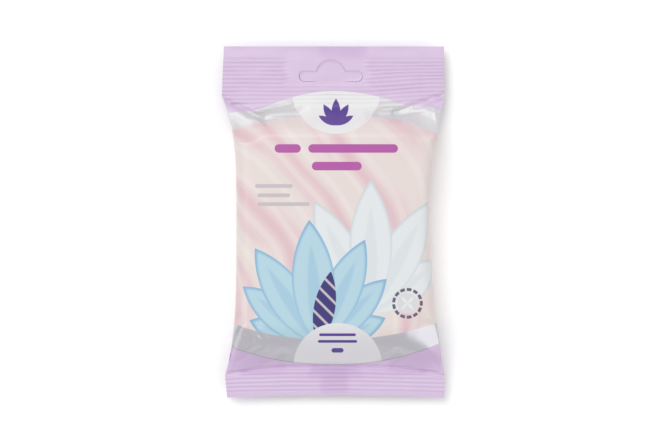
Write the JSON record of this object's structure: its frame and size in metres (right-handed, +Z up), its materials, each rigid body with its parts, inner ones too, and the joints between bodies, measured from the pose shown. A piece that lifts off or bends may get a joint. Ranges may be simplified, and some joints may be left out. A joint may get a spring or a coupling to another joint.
{
  "type": "wet wipes pack",
  "caption": "Sealed film pillow pack of folded wet wipes, with a crimped seal at each end, a die-cut hanging slot in the upper one and a fin seal along its back.",
  "frame": {"origin": "centre of the pack's bounding box, on the surface that it lies on", "axes": "+X across the pack, +Y along it towards the hanging slot, +Z up out of its printed front"},
  "size_m": [0.0892, 0.141, 0.018],
  "materials": {
    "printed_film": "satin printed laminate film, heat-sealed and crimped at both ends"
  },
  "bodies": {
    "root": {"wipes_pack": "printed_film"}
  },
  "joints": []
}
